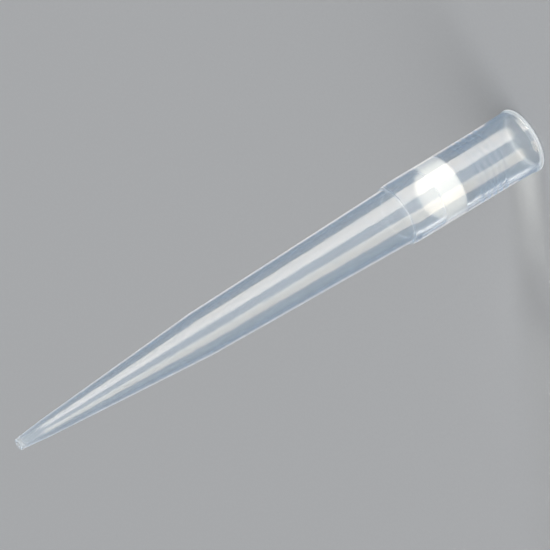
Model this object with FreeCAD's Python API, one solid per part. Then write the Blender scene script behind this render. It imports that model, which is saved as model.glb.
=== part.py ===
import FreeCAD, Part
import math
import os

# A filtered pipette tip, in millimetres. It stands on its mouth with the narrow end up, as it does when it
# is set down on a bench, and its axis is Z. Stations run along that axis from the narrow end, and radii are
# taken from it.

# Outside of the moulded body, from the narrow end to the mouth.
tip_length = 84.0
nose_length = 4.4  # the last stretch before the orifice, drawn in more steeply
edge_station = 29.8  # where the slender cone meets the gentler shaft, at a turned edge
shoulder_station = 62.4  # where the shaft meets the thicker head
shoulder_slope = 1.0  # axial length of the bevel above the rack face
flare_station = 77.4  # where the head starts to open
lip_station = 82.7
lip_rise = 0.8  # axial length over which the lip swells

orifice_outer_radius = 0.79
nose_outer_radius = 1.24
edge_outer_radius = 3.13
shaft_outer_radius = 4.02
rack_face_radius = 4.27
head_base_radius = 4.39
head_top_radius = 4.41
flare_top_radius = 4.50
lip_radius = 4.64

# Inside of the moulded body.
orifice_radius = 0.41
nose_wall = 0.43
edge_wall = 0.47
shaft_wall = 0.62
mouth_radius = 3.92
sealing_bore_radius = 3.55
sealing_bore_length = 5.85
lead_in_length = 1.0  # axial length of the taper from the sealing bore down to the plug's seat

# Fine sealing ribs inside the head, which a pipette's nose cone presses against.
rib_count = 5
rib_pitch = 1.02
rib_width = 0.36
rib_height = 0.03
first_rib_offset = 1.45  # from the lower end of the sealing bore to the first rib's crest

# The filter plug and its seat in the head.
plug_radius = 3.43
plug_length = 3.45
plug_station = 67.7
plug_chamfer = 0.12
plug_clearance = 0.02  # the bore's radius over the plug's
seat_margin = 0.3  # how far the seat runs past each end of the plug

# Edge rounding left by the mould.
orifice_rounding = 0.12
corner_rounding = 0.1
lip_rounding = 0.32
mouth_rounding = 0.2

seat_radius = plug_radius + plug_clearance
seat_start = plug_station - seat_margin
seat_end = plug_station + plug_length + seat_margin
bore_start = seat_end + lead_in_length
bore_end = bore_start + sealing_bore_length


def point(station, radius):
    return FreeCAD.Vector(radius, 0, tip_length - station)


def rounded_corner(before, corner, after, rounding):
    """The two tangent points and the middle of the arc that rounds a corner."""
    back = (before - corner).normalize()
    ahead = (after - corner).normalize()
    half_angle = back.getAngle(ahead) / 2
    reach = rounding / math.tan(half_angle)
    middle = (back + ahead).normalize()
    to_arc = rounding / math.sin(half_angle) - rounding
    return corner + back * reach, corner + middle * to_arc, corner + ahead * reach


def outline(corners):
    """A closed wire through (station, radius, rounding) corners."""
    places = [point(station, radius) for station, radius, _ in corners]
    edges = []
    ends = []
    for i, (_, _, rounding) in enumerate(corners):
        before, corner, after = places[i - 1], places[i], places[(i + 1) % len(places)]
        if rounding:
            start, middle, end = rounded_corner(before, corner, after, rounding)
            edges.append(Part.Arc(start, middle, end).toShape())
            ends.append((start, end))
        else:
            ends.append((corner, corner))
    for i, (_, leave) in enumerate(ends):
        arrive = ends[(i + 1) % len(ends)][0]
        edges.append(Part.makeLine(leave, arrive))
    return Part.Wire(Part.__sortEdges__(edges))


def turned(wire):
    """The solid that a wire sweeps in one turn about the tip's axis."""
    face = Part.Face(wire)
    return face.revolve(FreeCAD.Vector(0, 0, 0), FreeCAD.Vector(0, 0, 1), 360)


def outer_corners():
    return [
        (0, orifice_outer_radius, orifice_rounding),
        (nose_length, nose_outer_radius, 0),
        (edge_station, edge_outer_radius, 0),
        (shoulder_station, shaft_outer_radius, corner_rounding),
        (shoulder_station, rack_face_radius, 0),
        (shoulder_station + shoulder_slope, head_base_radius, 0),
        (flare_station, head_top_radius, 0),
        (lip_station, flare_top_radius, 0),
        (lip_station + lip_rise, lip_radius, 0),
        (tip_length, lip_radius, lip_rounding),
    ]


def inner_corners():
    return [
        (tip_length, mouth_radius, mouth_rounding),
        (bore_end, sealing_bore_radius, 0),
        (bore_start, sealing_bore_radius, 0),
        (seat_end, seat_radius, 0),
        (seat_start, seat_radius, 0),
        (shoulder_station, shaft_outer_radius - shaft_wall, 0),
        (edge_station, edge_outer_radius - edge_wall, 0),
        (nose_length, nose_outer_radius - nose_wall, 0),
        (0, orifice_radius, 0),
    ]


def sealing_rib(station):
    """One low rounded rib that stands in from the sealing bore, rooted in the wall behind it."""
    start = station - rib_width / 2
    end = station + rib_width / 2
    low = point(start, sealing_bore_radius)
    crest = point(station, sealing_bore_radius - rib_height)
    high = point(end, sealing_bore_radius)
    high_root = point(end, sealing_bore_radius + rib_height)
    low_root = point(start, sealing_bore_radius + rib_height)
    crown = Part.Arc(low, crest, high).toShape()
    root = [Part.makeLine(high, high_root), Part.makeLine(high_root, low_root), Part.makeLine(low_root, low)]
    return turned(Part.Wire([crown] + root))


def tip_body():
    shell = turned(outline(outer_corners() + inner_corners()))
    first = bore_start + first_rib_offset
    ribs = [sealing_rib(first + i * rib_pitch) for i in range(rib_count)]
    return shell.fuse(ribs).removeSplitter().Solids[0]


def filter_plug():
    end = plug_station + plug_length
    return turned(outline([
        (plug_station, 0, 0),
        (plug_station, plug_radius, plug_chamfer),
        (end, plug_radius, plug_chamfer),
        (end, 0, 0),
    ]))


def main():
    os.makedirs("parts", exist_ok=True)
    for name, shape in (("tip_body", tip_body()), ("filter_plug", filter_plug())):
        shape.exportStep("parts/" + name + ".step")
        box = shape.BoundBox
        print(name, shape.ShapeType, shape.isValid(), round(shape.Volume, 2), box)


main()
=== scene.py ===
import math

import bpy
from mathutils import Matrix, Vector


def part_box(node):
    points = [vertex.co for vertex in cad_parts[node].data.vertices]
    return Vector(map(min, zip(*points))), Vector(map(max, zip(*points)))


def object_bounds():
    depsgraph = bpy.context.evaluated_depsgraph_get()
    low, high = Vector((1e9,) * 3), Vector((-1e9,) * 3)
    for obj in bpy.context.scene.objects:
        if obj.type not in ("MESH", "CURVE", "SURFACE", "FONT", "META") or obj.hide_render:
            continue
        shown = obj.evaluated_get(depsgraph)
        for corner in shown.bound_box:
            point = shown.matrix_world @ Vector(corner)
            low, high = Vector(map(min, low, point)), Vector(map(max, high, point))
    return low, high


# A filtered pipette tip standing on its mouth on a plain bench. Sizes are in metres and +Z is up.
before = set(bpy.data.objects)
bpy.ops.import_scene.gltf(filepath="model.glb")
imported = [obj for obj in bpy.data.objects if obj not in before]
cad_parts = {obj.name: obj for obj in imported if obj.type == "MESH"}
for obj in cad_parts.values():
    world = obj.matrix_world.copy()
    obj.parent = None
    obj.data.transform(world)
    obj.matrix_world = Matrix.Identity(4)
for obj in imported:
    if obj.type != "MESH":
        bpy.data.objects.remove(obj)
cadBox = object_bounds()
print("loaded the tip and its filter plug")

mm = 0.001
tipLength = cadBox[1][2] - cadBox[0][2]

# A Mix node set to colours takes its share at socket 0 and the two colours at 6 and 7, and gives the result at 2.
mixShare, mixFirst, mixSecond, mixResult = 0, 6, 7, 2


def linear(hexColour):
    # "#RRGGBB" as it is picked on a screen, turned into the linear colour that shaders take
    parts = [int(hexColour[i:i + 2], 16) / 255 for i in (1, 3, 5)]
    return [p / 12.92 if p <= 0.04045 else ((p + 0.055) / 1.055) ** 2.4 for p in parts] + [1.0]


def addNode(tree, kind, settings=None, links=None):
    # settings go to the node itself or to its sockets, links to its sockets; a socket goes by its name or number
    node = tree.nodes.new(kind)
    for name, value in (settings or {}).items():
        if isinstance(name, str) and hasattr(node, name):
            setattr(node, name, value)
        else:
            node.inputs[name].default_value = value
    for name, source in (links or {}).items():
        tree.links.new(source, node.inputs[name])
    return node


def newMaterial(name):
    material = bpy.data.materials.new(name)
    material.use_nodes = True
    material.node_tree.nodes.clear()
    return material, material.node_tree


# Camera: a long lens from the tip's side, a little above it, rolled so that the tip runs across the frame.
view = {
    "lookDown": 22.36,          # degrees below level
    "roll": 31.11,              # degrees that the tip's axis makes with the frame's long edge
    "middleHeight": 42.6 * mm,  # the height on the tip's axis that sits close to the frame's middle
    "shiftRight": 0.566 * mm,
    "shiftUp": 2.251 * mm,
    "distance": 1183 * mm,
    "lens": 588.0,
    "sensor": 36.0,
    "nearest": 0.05,
    "farthest": 50.0,
}


def addCamera():
    down = math.radians(view["lookDown"])
    roll = math.radians(view["roll"])
    forward = Vector((0, math.cos(down), -math.sin(down)))
    level = Vector((1, 0, 0))
    steep = Vector((0, math.sin(down), math.cos(down)))
    right = -math.sin(roll) * level - math.cos(roll) * steep
    up = math.cos(roll) * level - math.sin(roll) * steep
    target = Vector((0, 0, view["middleHeight"])) + right * view["shiftRight"] + up * view["shiftUp"]
    cam = bpy.data.objects.new("camera", bpy.data.cameras.new("camera"))
    bpy.context.scene.collection.objects.link(cam)
    cam.data.lens = view["lens"]
    cam.data.sensor_width = view["sensor"]
    cam.data.clip_start = view["nearest"]
    cam.data.clip_end = view["farthest"]
    turn = Matrix((right, up, -forward)).transposed()
    cam.matrix_world = Matrix.Translation(target - forward * view["distance"]) @ turn.to_4x4()
    bpy.context.scene.camera = cam


addCamera()
print("camera in place")


# Bench: a plain pale laminate top.
bench = {
    "size": 6.0,
    "colour": "#9a9c9e",
    "colourMottle": "#969799",
    "mottle": 0.5 * mm,          # the clumps of fibre in the pressed paper
    "mottleDetail": 3.0,
    "roughness": 0.9,
    "specular": 0.0,
}


def benchLaminate():
    # Paper pressed in resin under a matt plate: an even pale grey with a fine mottle and no shine.
    material, tree = newMaterial("bench laminate, pressed matt")
    place = addNode(tree, "ShaderNodeTexCoord").outputs["Object"]
    mottle = addNode(tree, "ShaderNodeTexNoise", {"Scale": 1 / bench["mottle"], "Detail": bench["mottleDetail"]},
                     {"Vector": place})
    tint = addNode(tree, "ShaderNodeMix",
                   {"data_type": "RGBA", mixFirst: linear(bench["colour"]), mixSecond: linear(bench["colourMottle"])},
                   {mixShare: mottle.outputs["Fac"]})
    shader = addNode(tree, "ShaderNodeBsdfPrincipled",
                     {"Roughness": bench["roughness"], "Specular IOR Level": bench["specular"]},
                     {"Base Color": tint.outputs[mixResult]})
    addNode(tree, "ShaderNodeOutputMaterial", {}, {"Surface": shader.outputs["BSDF"]})
    return material


def addBench():
    mesh = bpy.data.meshes.new("bench")
    half = bench["size"] / 2
    mesh.from_pydata([(-half, -half, 0), (half, -half, 0), (half, half, 0), (-half, half, 0)], [], [(0, 1, 2, 3)])
    mesh.materials.append(benchLaminate())
    obj = bpy.data.objects.new("bench", mesh)
    bpy.context.scene.collection.objects.link(obj)


addBench()
print("bench laid")


# Tip body: natural polypropylene, injection moulded and unpigmented. A span gives how far aslant the wall is seen
# where a change starts and where it ends, from 0, square on, to 1, edge on.
tipBody = {
    "slot": "clear_polypropylene",
    "clearColour": "#fdfbf6",      # what passes straight through, a little warm
    "ior": 1.49,
    "roughnessPolished": 0.14,     # where the mould's steel is brightest
    "roughnessDull": 0.22,         # and where the melt has dragged along it
    "flowWidth": 0.7 * mm,         # the dull streaks are this wide
    "flowStretch": 0.06,           # and run lengthwise, the way the mould fills
    "flowDetail": 2.0,
    "flowRange": (0.35, 0.65),     # the noise where the wall is polished and where it is dull
    # the haze is the light that the plastic's crystals scatter
    "hazeColour": "#acc6e0",       # cool
    "hazeColourDeep": "#a0bcd8",   # in the patches where the crystals grew larger
    "hazeSize": 5 * mm,            # the patches are this large
    "hazeDetail": 4.0,
    "hazeColourFlank": "#98b6d4",  # bluer where the wall is seen aslant
    "flankSpan": (0.08, 0.45),
    "hazeThrough": 0.5,            # how much of the haze is lit from behind
    "hazeFacing": 0.15,            # share of the light that turns to haze at each face of the wall, seen square on
    "hazeGrazing": 0.40,           # and edge on, where the light crosses more of the wall
    "hazeSpan": (0.2, 0.95),
    # heights in mm and how strongly the haze gathers there: round the mouth's rim and up the narrow end, where the
    # plastic is thick, and at the shoulder, where the whiter band is a painted highlight
    "thickOrHighlightPlaces": [(0, 1.0), (0.4, 1.0), (0.6, 0.0),
                    # the shoulder's band is a painted highlight, whiter haze where the shoulder's ring catches the
                    # light
                    (21.3, 0.0), (21.45, 0.5), (21.6, 0.5), (21.7, 0.0),
                    (62.0, 0.0), (78.0, 0.04), (81.0, 0.1), (83.0, 0.13), (83.8, 0.25)],
    "thickOrHighlightHaze": 0.6,              # what is added to the haze's share at full strength
    "thickOrHighlightColour": "#f2f5f7",
    "thickOrHighlightWhite": 0.3,             # the strength from which the haze is wholly of that colour
    # heights in mm between which the sealing ribs ring the bore
    "ribPlaces": [(0, 0.0), (5.5, 0.0), (5.7, 1.0), (10.4, 1.0), (10.6, 0.0)],
    "ribPitch": 1.02 * mm,
    "ribCrest": 10.1 * mm,         # the height of the uppermost rib
    "ribHaze": 0.12,               # what a crest adds to the haze's share
    # the filter plug's beads press on the bore, and show white there right out to the tip's edge
    "contactLower": [(-0.09, 0.0), (-0.05, 1.0)],  # mm above the plug's lower end, and how much of the contact shows
    "contactUpper": [(-0.3, 1.0), (0.05, 0.0)],    # the same from its upper end
    "contactColour": "#f6f6f4",
    "contactThrough": 0.35,        # how much of the beads' light seeps through them from the plug's side
    "contactBead": 0.95,           # how much of the wall the middle of a bead covers
    "contactPore": 0.8,            # and how much the pores between the beads do
    "bead": 0.16 * mm,
    "poreReach": 0.7,              # how far from a bead's middle its pores are, in beads
    "boreLimit": 3.9 * mm,         # the bore's wall is nearer to the axis than this, and the outside is farther
    "shadowColour": "#f8f8f6",     # what a lamp's light keeps at each face, square on
    "shadowColourEdge": "#8c9094",  # and edge on
    "shadowSpan": (0.35, 0.95),
}


def lengthwise(tree, height, places):
    # how much of something there is along the tip, from (height in mm, amount) pairs
    along = addNode(tree, "ShaderNodeMapRange", {"From Max": tipLength}, {"Value": height})
    ramp = addNode(tree, "ShaderNodeValToRGB", {}, {"Fac": along.outputs["Result"]})
    stops = ramp.color_ramp.elements
    for at, amount in places:
        stop = stops[0] if at == 0 else stops.new(at * mm / tipLength)
        stop.color = (amount, amount, amount, 1)
    stops.remove(stops[-1])  # the white one that a new ramp ends with
    return ramp.outputs["Color"]


def mouldPolish(tree, place):
    # the wall's roughness: polished, with duller streaks that the melt left as it flowed
    drawn = addNode(tree, "ShaderNodeMapping", {"Scale": (1.0, 1.0, tipBody["flowStretch"])}, {"Vector": place})
    flow = addNode(tree, "ShaderNodeTexNoise", {"Scale": 1 / tipBody["flowWidth"], "Detail": tipBody["flowDetail"]},
                   {"Vector": drawn.outputs["Vector"]})
    low, high = tipBody["flowRange"]
    polish = addNode(tree, "ShaderNodeMapRange",
                     {"From Min": low, "From Max": high, "To Min": tipBody["roughnessPolished"],
                      "To Max": tipBody["roughnessDull"]}, {"Value": flow.outputs["Fac"]})
    return polish.outputs["Result"]


def hazeTint(tree, place, slant, thickOrHighlight):
    # the haze's colour: cool, bluer where the wall is seen aslant and whiter where the plastic is thick and in the
    # painted highlight at the shoulder
    patches = addNode(tree, "ShaderNodeTexNoise", {"Scale": 1 / tipBody["hazeSize"], "Detail": tipBody["hazeDetail"]},
                      {"Vector": place})
    cool = addNode(tree, "ShaderNodeMix",
                   {"data_type": "RGBA", mixFirst: linear(tipBody["hazeColour"]),
                    mixSecond: linear(tipBody["hazeColourDeep"])}, {mixShare: patches.outputs["Fac"]})
    low, high = tipBody["flankSpan"]
    flank = addNode(tree, "ShaderNodeMapRange", {"From Min": low, "From Max": high}, {"Value": slant})
    aslant = addNode(tree, "ShaderNodeMix", {"data_type": "RGBA", mixSecond: linear(tipBody["hazeColourFlank"])},
                     {mixShare: flank.outputs["Result"], mixFirst: cool.outputs[mixResult]})
    whiter = addNode(tree, "ShaderNodeMapRange", {"From Max": tipBody["thickOrHighlightWhite"]}, {"Value": thickOrHighlight})
    tint = addNode(tree, "ShaderNodeMix", {"data_type": "RGBA", mixSecond: linear(tipBody["thickOrHighlightColour"])},
                   {mixShare: whiter.outputs["Result"], mixFirst: aslant.outputs[mixResult]})
    return tint.outputs[mixResult]


def hazeShare(tree, place, height, slant, thickOrHighlight):
    # how much of the light turns to haze: more edge on, where the plastic is thick, in the painted highlight at the
    # shoulder and on the sealing ribs
    low, high = tipBody["hazeSpan"]
    share = addNode(tree, "ShaderNodeMapRange",
                    {"interpolation_type": "SMOOTHSTEP", "From Min": low, "From Max": high,
                     "To Min": tipBody["hazeFacing"], "To Max": tipBody["hazeGrazing"]}, {"Value": slant})
    more = addNode(tree, "ShaderNodeMath", {"operation": "MULTIPLY_ADD", 1: tipBody["thickOrHighlightHaze"]},
                   {0: thickOrHighlight, 2: share.outputs["Result"]})
    # a wave of bands has 20 / (2 pi) of them to a unit of its scale
    rings = addNode(tree, "ShaderNodeTexWave",
                    {"wave_type": "BANDS", "bands_direction": "Z",
                     "Scale": 2 * math.pi / 20 / tipBody["ribPitch"],
                     "Phase Offset": math.pi - 2 * math.pi * tipBody["ribCrest"] / tipBody["ribPitch"]},
                    {"Vector": place})
    crest = addNode(tree, "ShaderNodeMapRange", {"From Min": 0.5, "To Max": tipBody["ribHaze"]},
                    {"Value": rings.outputs["Fac"]})
    ribbed = addNode(tree, "ShaderNodeMath", {"operation": "MULTIPLY_ADD"},
                     {0: crest.outputs["Result"], 1: lengthwise(tree, height, tipBody["ribPlaces"]),
                      2: more.outputs["Value"]})
    return ribbed.outputs["Value"]


def contactCover(tree, place, height):
    # how much of the bore's wall the beads cover, from one end of the plug to the other
    low, high = (corner[2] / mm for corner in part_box("filter_plug"))
    places = [(0, 0.0)] + [(low + above, amount) for above, amount in tipBody["contactLower"]]
    places += [(high + above, amount) for above, amount in tipBody["contactUpper"]]
    flat = addNode(tree, "ShaderNodeMapping", {"Scale": (1.0, 1.0, 0.0)}, {"Vector": place})
    radius = addNode(tree, "ShaderNodeVectorMath", {"operation": "LENGTH"}, {"Vector": flat.outputs["Vector"]})
    bore = addNode(tree, "ShaderNodeMath", {"operation": "LESS_THAN", 1: tipBody["boreLimit"]},
                   {0: radius.outputs["Value"]})
    touch = addNode(tree, "ShaderNodeMath", {"operation": "MULTIPLY"},
                    {0: lengthwise(tree, height, places), 1: bore.outputs["Value"]})
    grains = addNode(tree, "ShaderNodeTexVoronoi", {"Scale": 1 / tipBody["bead"]}, {"Vector": place})
    cover = addNode(tree, "ShaderNodeMapRange",
                    {"From Max": tipBody["poreReach"], "To Min": tipBody["contactBead"],
                     "To Max": tipBody["contactPore"]}, {"Value": grains.outputs["Distance"]})
    touched = addNode(tree, "ShaderNodeMath", {"operation": "MULTIPLY"},
                      {0: touch.outputs["Value"], 1: cover.outputs["Result"]})
    return touched.outputs["Value"]


def naturalPolypropylene():
    # Its crystals scatter a little of the light, more of the blue, so it looks milky and cool, not like glass. The
    # polished mould leaves it glossy, with faint streaks along its length.
    material, tree = newMaterial("natural polypropylene, injection moulded")
    place = addNode(tree, "ShaderNodeTexCoord").outputs["Object"]
    height = addNode(tree, "ShaderNodeSeparateXYZ", {}, {"Vector": place}).outputs["Z"]
    slant = addNode(tree, "ShaderNodeLayerWeight", {"Blend": 0.5}).outputs["Facing"]  # 0 square on and 1 edge on
    # the haze that gathers where the plastic is thick, and the painted highlight at the shoulder
    thickOrHighlight = lengthwise(tree, height, tipBody["thickOrHighlightPlaces"])

    clear = addNode(tree, "ShaderNodeBsdfPrincipled",
                    {"Base Color": linear(tipBody["clearColour"]), "IOR": tipBody["ior"],
                     "Transmission Weight": 1.0}, {"Roughness": mouldPolish(tree, place)})
    tint = hazeTint(tree, place, slant, thickOrHighlight)
    front = addNode(tree, "ShaderNodeBsdfDiffuse", {}, {"Color": tint})
    through = addNode(tree, "ShaderNodeBsdfTranslucent", {}, {"Color": tint})
    haze = addNode(tree, "ShaderNodeMixShader", {0: tipBody["hazeThrough"]},
                   {1: front.outputs["BSDF"], 2: through.outputs["BSDF"]})
    milky = addNode(tree, "ShaderNodeMixShader", {},
                    {0: hazeShare(tree, place, height, slant, thickOrHighlight), 1: clear.outputs["BSDF"],
                     2: haze.outputs["Shader"]})

    lit = addNode(tree, "ShaderNodeBsdfDiffuse", {"Color": linear(tipBody["contactColour"])})
    seeping = addNode(tree, "ShaderNodeBsdfTranslucent", {"Color": linear(tipBody["contactColour"])})
    beads = addNode(tree, "ShaderNodeMixShader", {0: tipBody["contactThrough"]},
                    {1: lit.outputs["BSDF"], 2: seeping.outputs["BSDF"]})
    wall = addNode(tree, "ShaderNodeMixShader", {},
                   {0: contactCover(tree, place, height), 1: milky.outputs["Shader"], 2: beads.outputs["Shader"]})

    # lamps reach the plug and the bench straight through the wall, a little dimmed
    low, high = tipBody["shadowSpan"]
    grazing = addNode(tree, "ShaderNodeMapRange",
                      {"interpolation_type": "SMOOTHSTEP", "From Min": low, "From Max": high}, {"Value": slant})
    shade = addNode(tree, "ShaderNodeMix",
                    {"data_type": "RGBA", mixFirst: linear(tipBody["shadowColour"]),
                     mixSecond: linear(tipBody["shadowColourEdge"])}, {mixShare: grazing.outputs["Result"]})
    passing = addNode(tree, "ShaderNodeBsdfTransparent", {}, {"Color": shade.outputs[mixResult]})
    path = addNode(tree, "ShaderNodeLightPath")
    whole = addNode(tree, "ShaderNodeMixShader", {},
                    {0: path.outputs["Is Shadow Ray"], 1: wall.outputs["Shader"], 2: passing.outputs["BSDF"]})
    addNode(tree, "ShaderNodeOutputMaterial", {}, {"Surface": whole.outputs["Shader"]})
    return material


# Filter plug: polyethylene beads sintered into a porous cylinder.
filterPlug = {
    "slot": "porous_polyethylene",
    "colour": "#f6f4f0",
    "colourPore": "#e8e4de",
    "roughness": 0.85,
    "bead": 0.16 * mm,
    "beadRise": 0.03 * mm,
    "soak": 1.2 * mm,            # how far light spreads between the beads
    "soakWeight": 0.2,           # and how much of it does
}


def sinteredPolyethylene():
    # Fused beads with open pores between them: dead white, matt and faintly grainy.
    material, tree = newMaterial("porous polyethylene, sintered")
    place = addNode(tree, "ShaderNodeTexCoord").outputs["Object"]
    beads = addNode(tree, "ShaderNodeTexVoronoi", {"Scale": 1 / filterPlug["bead"]}, {"Vector": place})
    tint = addNode(tree, "ShaderNodeMix",
                   {"data_type": "RGBA", mixFirst: linear(filterPlug["colour"]),
                    mixSecond: linear(filterPlug["colourPore"])}, {mixShare: beads.outputs["Distance"]})
    relief = addNode(tree, "ShaderNodeBump", {"invert": True, "Distance": filterPlug["beadRise"], "Strength": 1.0},
                     {"Height": beads.outputs["Distance"]})
    shader = addNode(tree, "ShaderNodeBsdfPrincipled",
                     {"Roughness": filterPlug["roughness"], "Subsurface Weight": filterPlug["soakWeight"],
                      "Subsurface Radius": (1, 1, 1), "Subsurface Scale": filterPlug["soak"]},
                     {"Base Color": tint.outputs[mixResult], "Normal": relief.outputs["Normal"]})
    addNode(tree, "ShaderNodeOutputMaterial", {}, {"Surface": shader.outputs["BSDF"]})
    return material


def dress(node, material):
    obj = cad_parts[node]
    obj.data.materials.clear()
    obj.data.materials.append(material)


dress("tip_body", naturalPolypropylene())
dress("filter_plug", sinteredPolyethylene())
print("materials on")


# Light: an even pale room, a lamp from the camera's side, a soft one from above, and strips close round the tip.
# Azimuths are in degrees from the camera's side of the tip towards +X.
room = {
    "colour": "#ffffff",
    "strength": 0.5,
    "backdropColour": "#a9abad",
}
lamps = [
    {"name": "key", "strength": 1.7, "azimuth": 40.0, "elevation": 25.0, "softness": 8.0},
    {"name": "above", "strength": 2.2, "azimuth": -45.0, "elevation": 45.0, "softness": 70.0},
]
# The strips stand upright on the bench. The front ones give the long reflections, the side one the fine line along
# the head and the rim ones the lines at the tip's edges. A strip's light may pass through plastic as many times as
# "passes" says.
strips = [
    {"name": "frontUpper", "radiance": 10.0, "colour": "#fff0de", "azimuth": 38.0, "distance": 11 * mm,
     "width": 8.8 * mm, "height": 79 * mm, "passes": 0},
    {"name": "frontMiddle", "radiance": 2.0, "colour": "#ffffff", "azimuth": 6.0, "distance": 11 * mm,
     "width": 14 * mm, "height": 79 * mm, "passes": 0},
    {"name": "frontLower", "radiance": 7.5, "colour": "#ffe8c8", "azimuth": -33.0, "distance": 11 * mm,
     "width": 6.6 * mm, "height": 79 * mm, "passes": 0},
    {"name": "sideLower", "radiance": 2.0, "colour": "#ffffff", "azimuth": -103.0, "distance": 9 * mm,
     "width": 2 * mm, "height": 18 * mm, "passes": 2},
    {"name": "rimLeft", "radiance": 1.8, "colour": "#ffeedc", "azimuth": 145.0, "distance": 11 * mm,
     "width": 9 * mm, "height": 100 * mm, "passes": 0},
    {"name": "rimRight", "radiance": 1.4, "colour": "#ffeedc", "azimuth": -145.0, "distance": 11 * mm,
     "width": 9 * mm, "height": 100 * mm, "passes": 0},
]


def addRoom():
    # matt surfaces are lit by the room, and the camera and clear or shiny surfaces see its backdrop's colour
    world = bpy.data.worlds.new("room")
    bpy.context.scene.world = world
    world.use_nodes = True
    tree = world.node_tree
    tree.nodes.clear()
    glow = addNode(tree, "ShaderNodeBackground", {"Color": linear(room["colour"]), "Strength": room["strength"]})
    backdrop = addNode(tree, "ShaderNodeBackground", {"Color": linear(room["backdropColour"]), "Strength": 1.0})
    path = addNode(tree, "ShaderNodeLightPath")
    direct = addNode(tree, "ShaderNodeMath", {"operation": "MAXIMUM"},
                     {0: path.outputs["Is Camera Ray"], 1: path.outputs["Is Glossy Ray"]})
    seen = addNode(tree, "ShaderNodeMath", {"operation": "MAXIMUM"},
                   {0: direct.outputs["Value"], 1: path.outputs["Is Transmission Ray"]})
    both = addNode(tree, "ShaderNodeMixShader", {},
                   {0: seen.outputs["Value"], 1: glow.outputs["Background"], 2: backdrop.outputs["Background"]})
    addNode(tree, "ShaderNodeOutputWorld", {}, {"Surface": both.outputs["Shader"]})


def sideways(azimuth):
    turn = math.radians(azimuth)
    return Vector((math.sin(turn), -math.cos(turn), 0))


def hang(lamp, place, away):
    # "away" is the direction opposite to the one that the lamp shines in
    obj = bpy.data.objects.new(lamp.name, lamp)
    bpy.context.scene.collection.objects.link(obj)
    obj.rotation_mode = "QUATERNION"
    obj.rotation_quaternion = away.to_track_quat("Z", "Y")
    obj.location = place
    return obj


def sheenOnly(lamp, passes):
    # The lamp is mirrored by the plastic, but is not seen through the tip and lights no matt surface. A ray's counts
    # are whole numbers, so each limit lies half way between two of them.
    lamp.use_nodes = True
    tree = lamp.node_tree
    tree.nodes.clear()
    path = addNode(tree, "ShaderNodeLightPath")
    first = addNode(tree, "ShaderNodeMath", {"operation": "LESS_THAN", 1: 0.5}, {0: path.outputs["Diffuse Depth"]})
    near = addNode(tree, "ShaderNodeMath", {"operation": "LESS_THAN", 1: passes + 0.5},
                   {0: path.outputs["Transmission Depth"]})
    both = addNode(tree, "ShaderNodeMath", {"operation": "MULTIPLY"},
                   {0: first.outputs["Value"], 1: near.outputs["Value"]})
    glow = addNode(tree, "ShaderNodeEmission", {}, {"Strength": both.outputs["Value"]})
    addNode(tree, "ShaderNodeOutputLight", {}, {"Surface": glow.outputs["Emission"]})


def addLamp(lamp):
    sun = bpy.data.lights.new(lamp["name"], "SUN")
    sun.energy = lamp["strength"]
    sun.angle = math.radians(lamp["softness"])
    rise = math.radians(lamp["elevation"])
    away = sideways(lamp["azimuth"]) * math.cos(rise) + Vector((0, 0, math.sin(rise)))
    hang(sun, away, away)


def addStrip(strip):
    lamp = bpy.data.lights.new(strip["name"], "AREA")
    lamp.shape = "RECTANGLE"
    lamp.size = strip["width"]
    lamp.size_y = strip["height"]
    lamp.color = linear(strip["colour"])[:3]
    lamp.energy = strip["radiance"] * math.pi * lamp.size * lamp.size_y  # radiance is power over pi times the area
    sheenOnly(lamp, strip["passes"])
    away = sideways(strip["azimuth"])
    obj = hang(lamp, away * strip["distance"] + Vector((0, 0, strip["height"] / 2)), away)
    obj.visible_camera = False
    obj.visible_diffuse = False


addRoom()
for lamp in lamps:
    addLamp(lamp)
for strip in strips:
    addStrip(strip)
print("lamps placed")

bpy.context.scene.view_settings.view_transform = "Standard"
